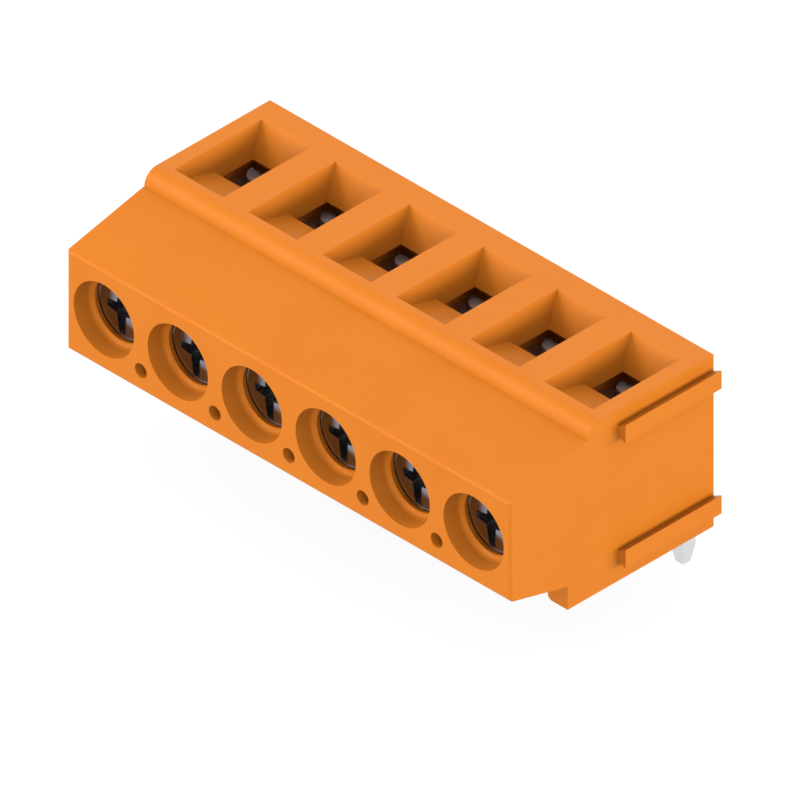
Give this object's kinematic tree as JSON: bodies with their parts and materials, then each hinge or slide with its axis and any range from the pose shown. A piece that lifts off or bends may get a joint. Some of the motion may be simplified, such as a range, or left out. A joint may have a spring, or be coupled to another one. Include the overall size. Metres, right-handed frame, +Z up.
{
  "type": "pcb terminal block",
  "caption": "Circuit-board terminal block with clamping yokes: screws in front, wire funnels on top, solder pins below.",
  "frame": {"origin": "middle of the row of solder pins, on the plane of the board", "axes": "+X along the row of poles towards the end with the rails, +Y from the screw face to the pins, +Z up from the board"},
  "size_m": [0.031, 0.0148, 0.0137],
  "materials": {
    "moulded_polyamide": "orange, as moulded, fine spark-eroded texture",
    "plated_screw_steel": "zinc plated, bright",
    "plated_yoke_steel": "zinc plated, tumbled",
    "tinned_brass": "tin plated, matt"
  },
  "bodies": {
    "housing": {"housing": "moulded_polyamide", "current_bar_1": "tinned_brass", "current_bar_2": "tinned_brass", "current_bar_3": "tinned_brass", "current_bar_4": "tinned_brass", "current_bar_5": "tinned_brass", "current_bar_6": "tinned_brass"},
    "screw_1": {"clamp_screw_1": "plated_screw_steel"},
    "yoke_1": {"clamp_yoke_1": "plated_yoke_steel"},
    "screw_2": {"clamp_screw_2": "plated_screw_steel"},
    "yoke_2": {"clamp_yoke_2": "plated_yoke_steel"},
    "screw_3": {"clamp_screw_3": "plated_screw_steel"},
    "yoke_3": {"clamp_yoke_3": "plated_yoke_steel"},
    "screw_4": {"clamp_screw_4": "plated_screw_steel"},
    "yoke_4": {"clamp_yoke_4": "plated_yoke_steel"},
    "screw_5": {"clamp_screw_5": "plated_screw_steel"},
    "yoke_5": {"clamp_yoke_5": "plated_yoke_steel"},
    "screw_6": {"clamp_screw_6": "plated_screw_steel"},
    "yoke_6": {"clamp_yoke_6": "plated_yoke_steel"}
  },
  "joints": [
    {"name": "screw_1_turn", "type": "hinge", "parent": "housing", "child": "screw_1", "pos_m": [-0.0127, -0.01298, 0.00531], "axis": [0, 1, 0], "range_deg": [-688, 1728]},
    {"name": "yoke_1_slide", "type": "slide", "parent": "housing", "child": "yoke_1", "axis": [0, -1, 0], "range_m": [-0.00085, 0.00215]},
    {"name": "screw_2_turn", "type": "hinge", "parent": "housing", "child": "screw_2", "pos_m": [-0.00762, -0.01298, 0.00531], "axis": [0, 1, 0], "range_deg": [-688, 1728]},
    {"name": "yoke_2_slide", "type": "slide", "parent": "housing", "child": "yoke_2", "axis": [0, -1, 0], "range_m": [-0.00085, 0.00215]},
    {"name": "screw_3_turn", "type": "hinge", "parent": "housing", "child": "screw_3", "pos_m": [-0.00254, -0.01298, 0.00531], "axis": [0, 1, 0], "range_deg": [-688, 1728]},
    {"name": "yoke_3_slide", "type": "slide", "parent": "housing", "child": "yoke_3", "axis": [0, -1, 0], "range_m": [-0.00085, 0.00215]},
    {"name": "screw_4_turn", "type": "hinge", "parent": "housing", "child": "screw_4", "pos_m": [0.00254, -0.01298, 0.00531], "axis": [0, 1, 0], "range_deg": [-688, 1728]},
    {"name": "yoke_4_slide", "type": "slide", "parent": "housing", "child": "yoke_4", "axis": [0, -1, 0], "range_m": [-0.00085, 0.00215]},
    {"name": "screw_5_turn", "type": "hinge", "parent": "housing", "child": "screw_5", "pos_m": [0.00762, -0.01298, 0.00531], "axis": [0, 1, 0], "range_deg": [-688, 1728]},
    {"name": "yoke_5_slide", "type": "slide", "parent": "housing", "child": "yoke_5", "axis": [0, -1, 0], "range_m": [-0.00085, 0.00215]},
    {"name": "screw_6_turn", "type": "hinge", "parent": "housing", "child": "screw_6", "pos_m": [0.0127, -0.01298, 0.00531], "axis": [0, 1, 0], "range_deg": [-688, 1728]},
    {"name": "yoke_6_slide", "type": "slide", "parent": "housing", "child": "yoke_6", "axis": [0, -1, 0], "range_m": [-0.00085, 0.00215]}
  ],
  "couplings": [
    {"joint": "screw_1_turn", "follows": "yoke_1_slide", "rad_per_m": 13963},
    {"joint": "screw_2_turn", "follows": "yoke_2_slide", "rad_per_m": 13963},
    {"joint": "screw_3_turn", "follows": "yoke_3_slide", "rad_per_m": 13963},
    {"joint": "screw_4_turn", "follows": "yoke_4_slide", "rad_per_m": 13963},
    {"joint": "screw_5_turn", "follows": "yoke_5_slide", "rad_per_m": 13963},
    {"joint": "screw_6_turn", "follows": "yoke_6_slide", "rad_per_m": 13963}
  ]
}
